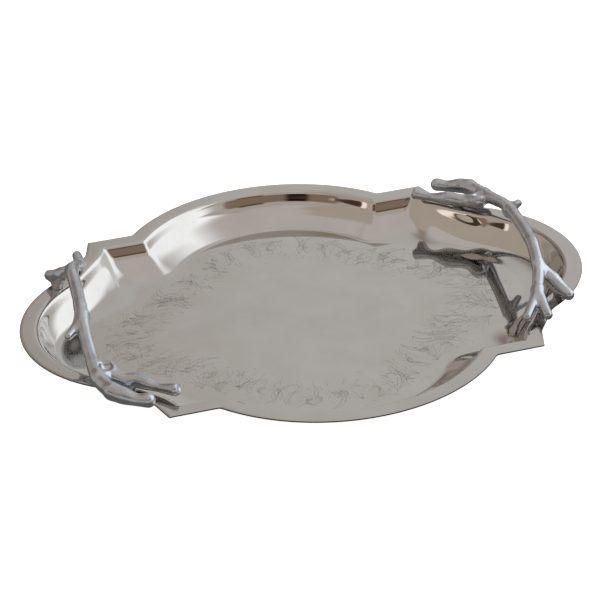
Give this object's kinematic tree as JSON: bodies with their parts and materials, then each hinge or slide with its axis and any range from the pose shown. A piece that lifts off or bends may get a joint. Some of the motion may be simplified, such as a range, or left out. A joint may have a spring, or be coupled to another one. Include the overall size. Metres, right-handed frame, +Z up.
{
  "type": "serving tray",
  "caption": "Lobed serving tray pressed from polished sheet metal, with a deep well, an etched leaf border and cast branch-shaped handles screwed to the rim.",
  "frame": {"origin": "on the table, under the middle of the tray: the bottom centre of the tray's box", "axes": "+X along the tray from handle to handle, +Y across it, +Z up out of the well"},
  "size_m": [0.5, 0.4338, 0.066],
  "materials": {
    "tray_steel": "mirror polished wall and rim, satin floor with an etched leaf border",
    "handle_aluminium": "cast and tumble polished",
    "screw_steel": "plain machined",
    "washer_steel": "plain stamped"
  },
  "bodies": {
    "root": {"tray_body": "tray_steel", "handle_left": "handle_aluminium", "handle_right": "handle_aluminium", "screw_left_front": "screw_steel", "screw_left_back": "screw_steel", "screw_right_front": "screw_steel", "screw_right_back": "screw_steel", "washer_left_front": "washer_steel", "washer_left_back": "washer_steel", "washer_right_front": "washer_steel", "washer_right_back": "washer_steel"}
  },
  "joints": []
}
